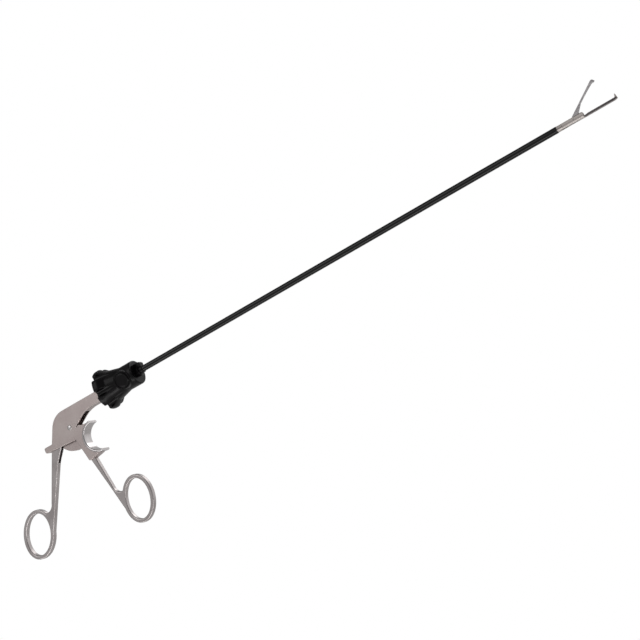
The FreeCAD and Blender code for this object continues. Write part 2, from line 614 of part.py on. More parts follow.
def fingerRest():
    body = newBody("finger_rest")
    section = outline(body, "RestSection", [
        ("-(restWidth - restWall) / 2", "restR"),
        ("(restWidth - restWall) / 2", "restR", "restLipR", 1),
        ("(restWidth - restWall) / 2", "restR + restWall"),
        ("-(restWidth - restWall) / 2", "restR + restWall", "restLipR", 1),
    ], "YZ_Plane")
    saddle = spin(body, section)
    saddle.Angle = value("restLowAngle - restTopAngle")
    saddle.setExpression("Angle", bound("(restLowAngle - restTopAngle) * 1deg"))
    saddle.Reversed = True
    along("finger_rest", "restX", "0", "restZ",
          FreeCAD.Rotation(Vector(0, -1, 0), value("restTopAngle - 90")))


def addRing(body, name, x, z, halfLong, halfShort, tilt, thick):
    """Adds an oval ring to a shank and opens its middle."""
    extrude(body, oval(body, name + "Outer", x, z, halfLong + " + ringBar", halfShort + " + ringBar", tilt),
            thick)
    extrude(body, oval(body, name + "Inner", x, z, halfLong, halfShort, tilt), thick + " + cutOver", "Pocket")


def roundFlatEdges(body, half, name, top):
    """Rounds the edges in a body's two flat faces whose middle lies below a height."""
    def wanted(edge):
        box = edge.BoundBox
        inFace = box.YLength < 0.01 and abs(abs(box.YMin) - value(half)) < 0.01
        return inFace and edge.CenterOfMass.z < value(top)
    return roundOff(body, "ringEdgeR", wanted, name)


def fingerRing():
    body = newBody("finger_ring")
    shank = outline(body, "FingerShank", [
        ("fingerBackX", blockFoot("fingerBackX")),
        ("fingerBackMidX", "fingerBackMidZ"),
        ("fingerBackLowX", "fingerBackLowZ"),
        ("fingerX", "fingerZ"),
        ("fingerJoinX", "fingerJoinZ", "fingerCrotchR", -1),
        ("fingerCrotchX", "fingerCrotchZ"),
        ("fingerFrontX", blockFoot("fingerFrontX")),
    ])
    extrude(body, shank, "fingerThick")
    addRing(body, "Finger", "fingerX", "fingerZ", "fingerLong", "fingerShort", "fingerTilt", "fingerThick")
    roundFlatEdges(body, "fingerThick / 2", "FingerEdges", "blockZ - ringBar")
    extrude(body, outline(body, "Tenon", tenonCorners("0")), "tenonWidth")


def thumbRing():
    body = newBody("thumb_ring")
    shank = outline(body, "ThumbShank", [
        aroundPivot("hubR", "shankTopAngle"),
        ("shankBackX", "shankBackZ"),
        ("shankBackLowX", "shankBackLowZ", "shankJoinR", -1),
        ("shankJoinX", "shankJoinZ"),
        ("thumbX", "thumbZ"),
        ("shankLowX", "shankLowZ"),
        ("shankFrontX", "shankFrontZ"),
        ("shankUnderX", "shankUnderZ"),
        aroundPivot("hubR", "shankLowAngle"),
    ])
    extrude(body, shank, "thumbThick")
    addRing(body, "Thumb", "thumbX", "thumbZ", "thumbLong", "thumbShort", "thumbTilt", "thumbThick")
    roundOff(body, "shankBendR", acrossAt(("shankFrontX", "shankFrontZ")), "ShankBend")
    roundFlatEdges(body, "thumbThick / 2", "ThumbEdges", "0")
    extrude(body, disc(body, "ThumbHub", "pivotX", "-pivotDrop", "hubR"), "thumbThick")
    arm = outline(body, "DriveLever", [
        lever("0", "-hubR"), lever(leverReach + " + leverOver", "-leverHalf"),
        lever(leverReach + " + leverOver", "leverHalf"), lever("0", "hubR")])
    extrude(body, arm, "thumbThick")
    forkTop = leverReach + " + forkOver"
    fork = outline(body, "BallFork", [
        lever(leverReach + " - forkDepth", "-ballR - forkGap"), lever(forkTop, "-ballR - forkGap"),
        lever(forkTop, "ballR + forkGap"), lever(leverReach + " - forkDepth", "ballR + forkGap")])
    extrude(body, fork, "thumbThick + cutOver", "Pocket")
    notch = outline(body, "RodNotch", [
        lever(leverReach + " - forkDepth", "0"), lever(forkTop, "0"),
        lever(forkTop, "leverHalf + cutOver"), lever(leverReach + " - forkDepth", "leverHalf + cutOver")])
    extrude(body, notch, "2 * rodNotch", "Pocket")
    slot = outline(body, "WebSlot", [
        aroundPivot("slotStart", "slotTopAngle") + ("slotStart", 1),
        aroundPivot("slotStart", "slotLowAngle"),
        aroundPivot("slotReach", "slotLowAngle") + ("slotReach", -1),
        aroundPivot("slotReach", "slotTopAngle"),
    ])
    extrude(body, slot, "slotWidth", "Pocket")
    extrude(body, disc(body, "ThumbBore", "pivotX", "-pivotDrop", "pinR + runGap"),
            "thumbThick + cutOver", "Pocket")


def handlePivot():
    dome = "((pinHeadR^2 + pinHeadHeight^2) / (2 * pinHeadHeight))"
    turned("handle_pivot", [
        ("-frameWidth / 2 - pinInNut", "0"),
        ("frameWidth / 2 + pinHeadHeight", "0", dome, 1),
        ("frameWidth / 2", "pinHeadR"),
        ("frameWidth / 2", "pinR"),
        ("-frameWidth / 2 - pinInNut", "pinR"),
    ])
    along("handle_pivot", "pivotX", "0", "-pivotDrop", acrossY)
    nut = newBody("pivot_nut")
    corners = [("nutR * cos(%d)" % angle, "nutR * sin(%d)" % angle) for angle in range(0, 360, 60)]
    extrude(nut, outline(nut, "NutSide", corners), "nutHeight", centred=False, backwards=True)
    extrude(nut, disc(nut, "NutBore", "0", "0", "pinR + seatGap"), "nutBore", "Pocket", centred=False)
    along("pivot_nut", "pivotX", "frameWidth / 2", "-pivotDrop")


def pivotWashers():
    body = newBody("pivot_washers")
    thick = "((cheekGap - thumbThick) / 2 - 2 * seatGap)"
    near = "(thumbThick / 2 + seatGap)"
    for name, sign in (("Near", 1), ("Far", -1)):
        ends = (near, near + " + " + thick)
        spin(body, outline(body, name + "Washer", [
            ("%d * %s" % (sign, ends[0]), "pinR + runGap"), ("%d * (%s)" % (sign, ends[1]), "pinR + runGap"),
            ("%d * (%s)" % (sign, ends[1]), "washerR"), ("%d * %s" % (sign, ends[0]), "washerR")], "YZ_Plane"))
    along("pivot_washers", "pivotX", "0", "-pivotDrop")


def rotationKnob():
    body = newBody("rotation_knob")
    lobeEnd = "(" + knobRear + " + knobLobeLength)"
    waist = "(" + knobRear + " + knobWaistX)"
    noseBack = "(" + knobRear + " + knobNoseX)"
    spin(body, outline(body, "KnobSide", [
        (knobRear, "0"), (knobRear, "-knobLobeR"), (lobeEnd, "-knobLobeR"),
        (waist, "-knobWaistR"), (noseBack, "-knobNoseR"), (knobFront, "-knobNoseR"), (knobFront, "0")]))

    def circleAt(x, radius):
        def wanted(edge):
            box = edge.BoundBox
            return box.XLength < 0.01 and abs(box.XMin - value(x)) < 0.01 and (
                abs(box.ZMax - value(radius)) < 0.01)
        return wanted

    roundOff(body, "lobeFrontR", circleAt(lobeEnd, "knobLobeR"), "LobeShoulders")
    roundOff(body, "lobeEdgeR", circleAt(knobRear, "knobLobeR"), "LobeEdges")
    roundOff(body, "noseEdgeR", circleAt(knobFront, "knobNoseR"), "NoseEdge")
    direction = outwards(180 + value("180 / knobLobes"))
    length = value(noseBack) - value(knobRear)
    slope = value("fluteFrontFloor + fluteFrontR - fluteRearFloor - fluteRearR") / length
    growth = value("fluteFrontR - fluteRearR") / length
    over = value("fluteOver")
    rear = Vector(value(knobRear) - over, 0, 0) + direction * (value("fluteRearFloor + fluteRearR") - slope * over)
    front = Vector(value(noseBack), 0, 0) + direction * value("fluteFrontFloor + fluteFrontR")
    flute = body.newObject("PartDesign::SubtractiveCone", "Flute")
    flute.Placement = FreeCAD.Placement(rear, facing(front - rear))
    flute.Radius1 = value("fluteRearR") - growth * over
    flute.setExpression("Radius2", bound("fluteFrontR"))
    flute.Height = (front - rear).Length
    doc.recompute()
    flutes = body.newObject("PartDesign::PolarPattern", "Flutes")
    flutes.Originals = [flute]
    flutes.Axis = ([item for item in body.Origin.OriginFeatures if item.Role == "X_Axis"][0], [""])
    flutes.Angle = 360
    flutes.Occurrences = int(value("knobLobes"))
    flutes.setExpression("Occurrences", bound("knobLobes"))
    body.Tip = flutes
    doc.recompute()
    towards = outwards(value("buttonAngle"))
    boss = body.newObject("PartDesign::AdditiveCylinder", "ButtonBoss")
    boss.Placement = FreeCAD.Placement(Vector(value(buttonPlace), 0, 0) + towards * value("bossRoot"),
                                       facing(towards))
    boss.setExpression("Radius", bound("bossR"))
    boss.setExpression("Height", bound("bossFace - bossRoot"))
    doc.recompute()
    well = body.newObject("PartDesign::SubtractiveCylinder", "ButtonWell")
    floor = value("buttonFace - buttonDepth - buttonTravel - endGap")
    well.Placement = FreeCAD.Placement(Vector(value(buttonPlace), 0, 0) + towards * floor, facing(towards))
    well.setExpression("Radius", bound("buttonR + slideGap"))
    well.setExpression("Height", bound("2 * buttonFace"))
    doc.recompute()
    spin(body, outline(body, "KnobBores", [
        (knobRear + " - cutOver", "0"), (knobRear + " - cutOver", "knobRearBoreR"), (seatBack, "knobRearBoreR"),
        (seatBack, "hubFlangeR + seatGap"), (seatFront, "hubFlangeR + seatGap"), (seatFront, "latchRoomR"),
        (roomFront, "latchRoomR"), (roomFront, "collarR + runGap"),
        (knobFront + " + cutOver", "collarR + runGap"), (knobFront + " + cutOver", "0")]), "Groove")


def releaseButton():
    """Button and keyhole plate, drawn flat and then turned outwards from the shaft axis."""
    button = newBody("release_button")
    back = "(buttonFace - buttonDepth)"
    spin(button, outline(button, "ButtonSide", [
        (back, "0"), (back, "buttonR"), ("buttonFace - buttonEdge", "buttonR"),
        ("buttonFace", "buttonR - buttonEdge"), ("buttonFace - buttonDish", "buttonR - buttonRim"),
        ("buttonFace - buttonDish", "0")]))
    lean = FreeCAD.Rotation(Vector(1, 0, 0), outwards(value("buttonAngle")))
    along("release_button", buttonPlace, "0", "0", lean)
    plate = newBody("latch_plate")
    half = "(latchWidth / 2)"
    flat = outline(plate, "LatchSide", [
        ("-latchLow", "-" + half), (back, "-" + half), (back, half), ("-latchLow", half)], "XY_Plane")
    extrude(plate, flat, "latchThick")
    lock = disc(plate, "LockHole", "0", "0", "collarR - collarGroove + runGap", "XY_Plane")
    extrude(plate, lock, "latchThick + cutOver", "Pocket")
    free = disc(plate, "FreeHole", "buttonTravel", "0", "collarR + runGap", "XY_Plane")
    extrude(plate, free, "latchThick + cutOver", "Pocket")
    towards = outwards(value("buttonAngle"))
    across = Vector(1, 0, 0)
    turn = FreeCAD.Rotation(towards, across.cross(towards), across, "XYZ")
    along("latch_plate", buttonPlace, "0", "0", turn)
    spring = doc.addObject("Part::Feature", "latch_spring")
    spring.Label = "latch_spring"
    room = value("latchRoomR - latchLow - 2 * springWire - 2 * springGap")
    helix = Part.makeHelix(room / value("springTurns"), room, value("springR"))
    start = Part.Wire(Part.makeCircle(value("springWire"), Vector(value("springR"), 0, 0), Vector(0, 1, 0)))
    spring.Shape = Part.Wire(helix.Edges).makePipeShell([start], True, True)
    spring.Placement = FreeCAD.Placement(
        Vector(value(buttonPlace), 0, 0) - towards * value("latchRoomR - springWire - springGap"),
        facing(towards))


def shaftPieces():
    pinGroove = "(dowelR + runGap)"
    sealBore = "(rodR + runGap + 2 * sealR + seatGap)"
    capFront = "(" + hubBack + " + capThick)"
    sealFront = "(" + capFront + " + 2 * sealR + seatGap)"
    turned("shaft_hub", [
        (seatFront, "collarR + seatGap"), (seatFront, "hubFlangeR"), (seatBack, "hubFlangeR"),
        (seatBack, "hubJournalR"), (dowelPlace + " + " + pinGroove, "hubJournalR"),
        (dowelPlace + " + " + pinGroove, "hubJournalR - " + pinGroove),
        (dowelPlace + " - " + pinGroove, "hubJournalR - " + pinGroove),
        (dowelPlace + " - " + pinGroove, "hubJournalR"), (hubBack, "hubJournalR"),
        (hubBack, "capR + seatGap"), (capFront, "capR + seatGap"), (capFront, sealBore),
        (sealFront, sealBore), (sealFront, "rodR + runGap"),
        (collarBack + " - seatGap", "rodR + runGap"), (collarBack + " - seatGap", "collarR + seatGap"),
    ])
    ringOf("seal_cap", hubBack, capFront, "rodR + runGap", "capR")
    ringOf("socket_bush", socketFront + " - bushLength", socketFront,
           "hubJournalR + runGap", "hubJournalR + runGap + bushWall")
    ringBack = collarBack + " + sealInset - sealR - seatGap"
    ringFront = collarBack + " + sealInset + sealR + seatGap"
    latchHalf = "(latchThick / 2 + slideGap)"
    turned("shaft_collar", [
        (collarBack, "rodR + rodRoom"), (collarBack, "collarR"),
        (ringBack, "collarR"), (ringBack, "collarR - 2 * sealR"),
        (ringFront, "collarR - 2 * sealR"), (ringFront, "collarR"),
        (buttonPlace + " - " + latchHalf, "collarR"),
        (buttonPlace + " - " + latchHalf, "collarR - collarGroove"),
        (buttonPlace + " + " + latchHalf, "collarR - collarGroove"),
        (buttonPlace + " + " + latchHalf, "collarR"),
        (knobFront, "collarR"), (knobFront, tubeR + " + seatGap"),
        (tubeBack + " - seatGap", tubeR + " + seatGap"), (tubeBack + " - seatGap", "rodR + rodRoom"),
    ])
    ringOf("shaft_tube", tubeBack, "shaftLength", tubeR + " - tubeWall", tubeR)
    ringOf("insulation_sleeve", "0", "shaftLength", "sleeveR - sleeveWall", "sleeveR")


def sealRing(label, x, radius):
    """Rubber ring of round section about the shaft."""
    ring = doc.addObject("Part::Torus", label)
    ring.Label = label
    ring.setExpression("Radius1", bound(radius))
    ring.setExpression("Radius2", bound("sealR"))
    ring.Placement = FreeCAD.Placement(Vector(0, 0, 0), FreeCAD.Rotation(Vector(0, 1, 0), 90))
    ring.setExpression("Placement.Base.x", bound(x))


def indexCollar():
    ringEnd = "(" + knobFront + " + indexLength)"
    body = turned("index_collar", [
        (knobFront, tubeR + " + seatGap"), ("0", tubeR + " + seatGap"), ("0", "indexNoseR"),
        (ringEnd, "indexNoseR"), (ringEnd, "indexR - indexEdge"), (ringEnd + " - indexEdge", "indexR"),
        (knobFront, "indexR")])
    lug = outline(body, "IndexLug", [
        (knobFront, "sleeveR"), ("0", "sleeveR"), ("0", "lugReach - lugEdge"),
        ("-lugEdge", "lugReach"), (knobFront, "lugReach")])
    extrude(body, lug, "lugWidth")


def hubDowels():
    body = newBody("hub_dowels")
    for name, side in (("UpperDowel", "hubJournalR"), ("LowerDowel", "-hubJournalR")):
        extrude(body, disc(body, name, dowelPlace, side, "dowelR"), "dowelLength")


def pullRod():
    ballBack = "(" + ballX + " - ballHalf)"
    ballFront = "(" + ballX + " + ballHalf)"
    flatR = "sqrt(ballR^2 - ballHalf^2)"
    turned("pull_rod", [(ballBack, "0"), (tangBack, "0"), (tangBack, "rodR"), (ballBack, "rodR")])
    turned("rod_ball", [
        (ballBack, "rodR + seatGap"), (ballFront, "rodR + seatGap"),
        (ballFront, flatR, "ballR", 1), (ballBack, flatR)])


def camPoint(share, side, ahead="0"):
    """Point beside the cam slot's middle line, which the drive pin follows in the tang."""
    angle = "(%s * (2 * %s - 1))" % (tailTilt, share)
    rise = "(2 * tailArm * sin(%s))" % tailTilt
    slant = "sqrt(%s^2 + %s^2)" % (rodTravel, rise)
    x = "%s - tailArm * cos(%s) + %s * %s" % (jawPivot, angle, rodTravel, share)
    x += " - (%s) * %s / %s + (%s) * %s / %s" % (side, rise, slant, ahead, rodTravel, slant)
    z = "tailArm * sin(%s) + (%s) * %s / %s + (%s) * %s / %s" % (
        angle, side, rodTravel, slant, ahead, rise, slant)
    return (x, z)


def driveTang():
    body = newBody("drive_tang")
    front = "(" + jawPivot + " - tailArm + " + rodTravel + " + drivePinR + tangFrontLip)"
    side = outline(body, "TangSide", [
        (tangBack, "-tangReach"), (jawPivot + " - tangClear", "-tangReach"), (front, "-tangNose"),
        (front, "tangReach"), (tangBack + " + tangCorner", "tangReach"), (tangBack, "tangReach - tangCorner")])
    extrude(body, side, "2 * tangHalf")
    stations = [0, 0.25, 0.5, 0.75, 1]
    half = "(drivePinR + runGap)"
    upper = [camPoint(share, half) for share in stations]
    lower = [camPoint(share, "-" + half) for share in stations]
    upper[0] = camPoint(0, half, "-" + half)
    lower[0] = camPoint(0, "-" + half, "-" + half)
    upper[-1] = camPoint(1, half, half)
    lower[-1] = camPoint(1, "-" + half, half)
    extrude(body, outline(body, "CamSlot", upper + lower[::-1]), "4 * tangHalf", "Pocket")
    clear = disc(body, "PivotClearance", jawPivot, "0", "jawPinR + tangPinGap")
    extrude(body, clear, "4 * tangHalf", "Pocket")


def fixedJaw():
    body = newBody("fixed_jaw")
    noseX = "(shaftLength + yokeLength)"
    tip = "(shaftLength + jawReach)"
    spigotR = tubeR + " - tubeWall - seatGap"
    spin(body, outline(body, "YokeSide", [
        ("shaftLength - spigotLength", "0"), (noseX, "0"), (noseX, "yokeR - yokeEdge"),
        (noseX + " - yokeEdge", "yokeR"), ("shaftLength + seatGap", "yokeR"),
        ("shaftLength + seatGap", spigotR), ("shaftLength - spigotLength", spigotR)]))
    for name, side in (("NearFlat", "-"), ("FarFlat", "")):
        flat = outline(body, name, [
            ("shaftLength + flatStart", side + "yokeFlat"), (noseX + " + cutOver", side + "yokeFlat"),
            (noseX + " + cutOver", side + "2 * yokeR"), ("shaftLength + flatStart", side + "2 * yokeR")],
            "XY_Plane")
        extrude(body, flat, "4 * yokeR", "Pocket")
    through = outline(body, "YokeSlot", [
        ("shaftLength + jawSlotStart", "-yokeR - cutOver"), (jawPivot + " + jawHubR", "-yokeR - cutOver"),
        (jawPivot + " + jawHubR", "fixedTop"), (noseX + " + cutOver", "fixedTop"),
        (noseX + " + cutOver", "yokeR + cutOver"), ("shaftLength + jawSlotStart", "yokeR + cutOver")])
    extrude(body, through, "2 * jawSlotHalf", "Pocket")
    passageBack = "(shaftLength - spigotLength - cutOver)"
    spin(body, outline(body, "RodPassage", [
        (passageBack, "0"), (passageBack, "rodR + slideGap"),
        (jawPivot + " - jawHubR", "rodR + slideGap"), (jawPivot + " - jawHubR", "0")]), "Groove")
    extrude(body, outline(body, "FixedBar", [
        (noseX + " - barRoot", "-yokeR + barInset"), (tip + " - tipTaper", "-yokeR + barInset"),
        (tip, "fixedTop - tipThick"), (tip, "fixedTop"), (noseX + " - barRoot", "fixedTop")]), "2 * fixedHalf")
    crest = "(" + tip + " - toothLean)"
    extrude(body, outline(body, "FixedTeeth", [
        (tip + " - toothLength", "fixedTop - toothRoot"), (tip, "fixedTop - toothRoot"),
        (crest, "toothTop"), (crest + " - toothCrest", "toothTop")]), "2 * fixedHalf")
    gap = outline(body, "ToothGap", [
        (tip + " - toothLength - cutOver", "fixedTop"), (tip + " + cutOver", "fixedTop"),
        (tip + " + cutOver", "toothTop + cutOver"), (tip + " - toothLength - cutOver", "toothTop + cutOver")])
    extrude(body, gap, "2 * toothGap", "Pocket")
    bore = disc(body, "JawPinBore", jawPivot, "0", "jawPinR + seatGap")
    extrude(body, bore, "4 * yokeR", "Pocket")


def movingJaw():
    """Drawn closed about its pivot, then turned open."""
    body = newBody("moving_jaw")
    tailX = "(-tailArm * cos(%s))" % tailTilt
    tailZ = "(tailArm * sin(%s))" % tailTilt
    extrude(body, outline(body, "JawSide", [
        ("0", "jawHubR"), ("jawHubR", "jawBarTop"), ("hookX - hookRound", "jawBarTop"),
        ("hookX", "jawBarTop - hookRound"), ("hookX", "hookLow"), ("hookX - hookLength", "jawBarLow"),
        ("jawStepX", "jawBarLow"), ("jawHeelX", "jawHeelZ"), ("jawBellyX", "jawBellyZ"),
        ("jawThroatX", "jawBellyZ"), ("0", "0")]), "2 * jawBarHalf")
    extrude(body, disc(body, "JawHub", "0", "0", "jawHubR"), "2 * jawHalf")
    extrude(body, outline(body, "JawTail", [
        ("-tailRoot", "jawHubR - tailTopDrop"), (tailX, tailZ + " + tailR"), (tailX + " - tailR", tailZ),
        (tailX, tailZ + " - tailR"), ("-tailRoot", "-jawHubR + tailLowRise")]), "2 * jawHalf")
    extrude(body, outline(body, "JawRoot", [
        ("0", "0"), ("0", "jawHubR"), ("jawHubR", "jawBarTop"), ("jawRootX", "jawBarTop"),
        ("jawBellyX", "jawBellyZ"), ("jawThroatX", "jawBellyZ")]), "2 * jawHalf")
    extrude(body, outline(body, "TangSlot", [
        ("-tailArm - 2 * tailR", "-jawHubR - cutOver"), ("tangSlotFront", "-jawHubR - cutOver"),
        ("tangSlotFront", "jawBarTop + cutOver"), ("-tailArm - 2 * tailR", "jawBarTop + cutOver")]),
        "2 * (tangHalf + runGap)", "Pocket")
    for name, side in (("NearHookSide", "-"), ("FarHookSide", "")):
        cheek = outline(body, name, [
            ("hookX - 2 * hookLength", side + "hookHalf"), ("hookX + cutOver", side + "hookHalf"),
            ("hookX + cutOver", side + "2 * jawHalf"), ("hookX - 2 * hookLength", side + "2 * jawHalf")],
            "XY_Plane", "jawBarLow")
        extrude(body, cheek, "jawBarLow - hookLow + cutOver", "Pocket", centred=False)
    extrude(body, disc(body, "JawPivotBore", "0", "0", "jawPinR + runGap"), "4 * jawHalf", "Pocket")
    extrude(body, disc(body, "DrivePinBore", tailX, tailZ, "drivePinR + seatGap"), "4 * jawHalf", "Pocket")
    along("moving_jaw", jawPivot, "0", "0", FreeCAD.Rotation(Vector(0, -1, 0), value("jawOpen")))


def crossPin(label, x, z, radius, half):
    body = newBody(label)
    extrude(body, disc(body, label + "Round", x, z, radius), "2 * (" + half + ")")


handleFrame()
fingerRest()
fingerRing()
thumbRing()
handlePivot()
pivotWashers()
rotationKnob()
releaseButton()
shaftPieces()
sealRing("hub_seal", collarBack + " + sealInset", "collarR - sealR")
sealRing("rod_seal", hubBack + " + capThick + sealR", "rodR + runGap + sealR")
indexCollar()
hubDowels()
pullRod()
driveTang()
fixedJaw()
movingJaw()
crossPin("jaw_pivot", jawPivot, "0", "jawPinR", "yokeFlat")
crossPin("drive_pin", jawPivot + " - tailArm * cos(" + tailTilt + ")",
         "-tailArm * sin(" + tailTilt + ")", "drivePinR", "jawHalf")
doc.recompute()

failed = [item.Name + " " + ",".join(item.State) for item in doc.Objects
          if "Invalid" in item.State or "Error" in item.State]
if failed:
    raise RuntimeError("failed: " + "; ".join(failed))
nodes = [item for item in doc.Objects
         if item.TypeId in ("PartDesign::Body", "Part::Feature", "Part::Torus")]
for node in nodes:
    if node.Shape.isNull() or not node.Shape.isValid() or node.Shape.Volume <= 0:
        raise RuntimeError("bad shape: " + node.Label)

os.makedirs("parts", exist_ok=True)
for node in nodes:
    node.Shape.exportStep("parts/" + node.Label + ".step")
    box = node.Shape.BoundBox
    print("%-18s solids %d volume %9.2f  x %.2f %.2f  y %.2f %.2f  z %.2f %.2f" % (
        node.Label, len(node.Shape.Solids), node.Shape.Volume,
        box.XMin, box.XMax, box.YMin, box.YMax, box.ZMin, box.ZMax))
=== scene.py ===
import math

import bmesh
import bpy
from mathutils import Matrix, Vector


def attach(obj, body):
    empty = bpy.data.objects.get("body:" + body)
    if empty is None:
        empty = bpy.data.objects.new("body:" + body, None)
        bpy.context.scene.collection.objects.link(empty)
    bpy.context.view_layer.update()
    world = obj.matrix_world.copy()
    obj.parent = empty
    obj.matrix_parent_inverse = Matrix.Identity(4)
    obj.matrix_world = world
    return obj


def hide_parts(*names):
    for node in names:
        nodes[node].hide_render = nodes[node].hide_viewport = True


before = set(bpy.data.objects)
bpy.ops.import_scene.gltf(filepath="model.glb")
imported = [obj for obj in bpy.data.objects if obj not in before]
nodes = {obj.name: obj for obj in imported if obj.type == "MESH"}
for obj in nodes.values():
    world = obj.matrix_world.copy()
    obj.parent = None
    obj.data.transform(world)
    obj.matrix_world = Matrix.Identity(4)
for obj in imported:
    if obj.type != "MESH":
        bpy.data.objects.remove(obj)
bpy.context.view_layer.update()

mm = 0.001


def toLinear(hexColour):
    # sRGB hex to linear RGBA
    parts = [int(hexColour[index:index + 2], 16) / 255 for index in (1, 3, 5)]
    return [c / 12.92 if c <= 0.04045 else ((c + 0.055) / 1.055) ** 2.4 for c in parts] + [1.0]


def addNode(tree, kind, settings=None, links=None):
    # adds a shader node, sets its fields and sockets, and links its inputs
    node = tree.nodes.new(kind)
    for name, setting in (settings or {}).items():
        if name in node.inputs:
            node.inputs[name].default_value = setting
        else:
            setattr(node, name, setting)
    for name, source in (links or {}).items():
        tree.links.new(source, node.inputs[name])
    return node


def newMaterial(name):
    material = bpy.data.materials.new(name)
    material.use_nodes = True
    tree = material.node_tree
    tree.nodes.clear()
    output = addNode(tree, "ShaderNodeOutputMaterial")
    shader = addNode(tree, "ShaderNodeBsdfPrincipled")
    tree.links.new(shader.outputs["BSDF"], output.inputs["Surface"])
    return material, tree, shader


def spread(tree, source, low, high, start=0.0, end=1.0):
    # stretches a pattern's values between low and high to start and end
    node = addNode(tree, "ShaderNodeMapRange", {
        "From Min": low, "From Max": high, "To Min": start, "To Max": end}, {"Value": source})
    return node.outputs[0]


def blendColours(tree, factor, first, second):
    # each colour is a hex value or the output of a node
    mix = addNode(tree, "ShaderNodeMix", {"data_type": "RGBA"}, {"Factor": factor})
    for socket, colour in ((mix.inputs[6], first), (mix.inputs[7], second)):
        if isinstance(colour, str):
            socket.default_value = toLinear(colour)
        else:
            tree.links.new(colour, socket)
    return mix.outputs[2]


def useOn(material, *names):
    # gives CAD nodes this material
    for name in names:
        slots = nodes[name].material_slots
        for slot in slots:
            slot.material = material
        if not slots:
            nodes[name].data.materials.append(material)


# Stainless steel blasted with glass beads: an even warm grey with a fine matt grain,
# slow clouds where hands have burnished it, and edges that are a little brighter.
blastedSteel = {
    "dull": "#b3a6a4",
    "clean": "#c0b5b2",
    "edge": "#d6d2d0",
    "cloud": 20 * mm,
    "grit": 0.8 * mm,        # glass beads leave about 0.1 mm, drawn coarser so that it shows
    "grainDepth": 0.004 * mm,
    "roughness": 0.36,
    "edgeRoughness": 0.34,
    "edgeWidth": 0.5 * mm,
}

# The same steel on the rings, tumbled until it is smoother: streaks of light run along the bars.
tumbledSteel = {
    "dull": "#a59e9d",
    "clean": "#bdb7b6",
    "edge": "#c9c6c5",
    "cloud": 14 * mm,
    "grit": 1.0 * mm,
    "grainDepth": 0.003 * mm,
    "roughness": 0.29,
    "edgeRoughness": 0.33,
    "edgeWidth": 0.6 * mm,
}

# The same steel buffed: brighter and glossy, with only a trace of grain.
buffedSteel = {
    "dull": "#b3aeae",
    "clean": "#cdc9c9",
    "edge": "#e4e2e0",
    "cloud": 9 * mm,
    "grit": 0.8 * mm,
    "grainDepth": 0.002 * mm,
    "roughness": 0.18,
    "edgeRoughness": 0.24,
    "edgeWidth": 0.4 * mm,
}

# Steel inside the instrument, turned and ground.
groundSteel = {
    "dull": "#8f8c89",
    "clean": "#a8a5a2",
    "edge": "#c4c2c0",
    "cloud": 4 * mm,
    "grit": 0.4 * mm,
    "grainDepth": 0.003 * mm,
    "roughness": 0.28,
    "edgeRoughness": 0.2,
    "edgeWidth": 0.15 * mm,
}


def finishSteel(name, steel):
    material, tree, shader = newMaterial(name)
    place = addNode(tree, "ShaderNodeTexCoord").outputs["Object"]
    cloud = addNode(tree, "ShaderNodeTexNoise", {
        "Scale": 1 / steel["cloud"], "Detail": 4.0, "Roughness": 0.6}, {"Vector": place}).outputs[0]
    grain = addNode(tree, "ShaderNodeTexNoise", {
        "Scale": 1 / steel["grit"], "Detail": 2.0, "Roughness": 0.5}, {"Vector": place}).outputs[0]
    softNormal = addNode(tree, "ShaderNodeBevel", {
        "samples": 6, "Radius": steel["edgeWidth"]}).outputs[0]
    trueNormal = addNode(tree, "ShaderNodeNewGeometry").outputs["Normal"]
    lean = addNode(tree, "ShaderNodeVectorMath", {"operation": "DOT_PRODUCT"})
    tree.links.new(softNormal, lean.inputs[0])
    tree.links.new(trueNormal, lean.inputs[1])
    edge = spread(tree, lean.outputs["Value"], 0.995, 0.8)
    face = blendColours(tree, spread(tree, cloud, 0.32, 0.68), steel["dull"], steel["clean"])
    tree.links.new(blendColours(tree, edge, face, steel["edge"]), shader.inputs["Base Color"])
    matt = spread(tree, cloud, 0.3, 0.7, steel["roughness"] + 0.04, steel["roughness"] - 0.04)
    roughness = addNode(tree, "ShaderNodeMix", {"data_type": "FLOAT"})
    tree.links.new(edge, roughness.inputs[0])
    tree.links.new(matt, roughness.inputs[2])
    roughness.inputs[3].default_value = steel["edgeRoughness"]
    tree.links.new(roughness.outputs[0], shader.inputs["Roughness"])
    shader.inputs["Metallic"].default_value = 1.0
    bump = addNode(tree, "ShaderNodeBump", {"Strength": 0.5, "Distance": steel["grainDepth"]}, {
        "Height": grain, "Normal": softNormal})
    tree.links.new(bump.outputs["Normal"], shader.inputs["Normal"])
    return material


# Jaw steel drawn and polished lengthwise: fine lines run along the shaft. The fixed jaw's
# bar is painted darker than its yoke, a painted dark reflection rather than a darker steel.
jawFinish = {
    "fixed": ("#8f8885", "#c6bfbb"),
    "moving": ("#989496", "#bab7b8"),
    # painted dark reflection: shades that draw the fixed jaw's bar darker than its yoke
    "painted_dark_reflection": ("#4d494a", "#6f6a6a"),
    "lineLength": 60 * mm,
    "lineWidth": 1.0 * mm,   # polishing leaves finer lines, drawn coarser so that they show
    "lineDepth": 0.004 * mm,
    "roughness": 0.46,
    "edgeWidth": 0.12 * mm,
}


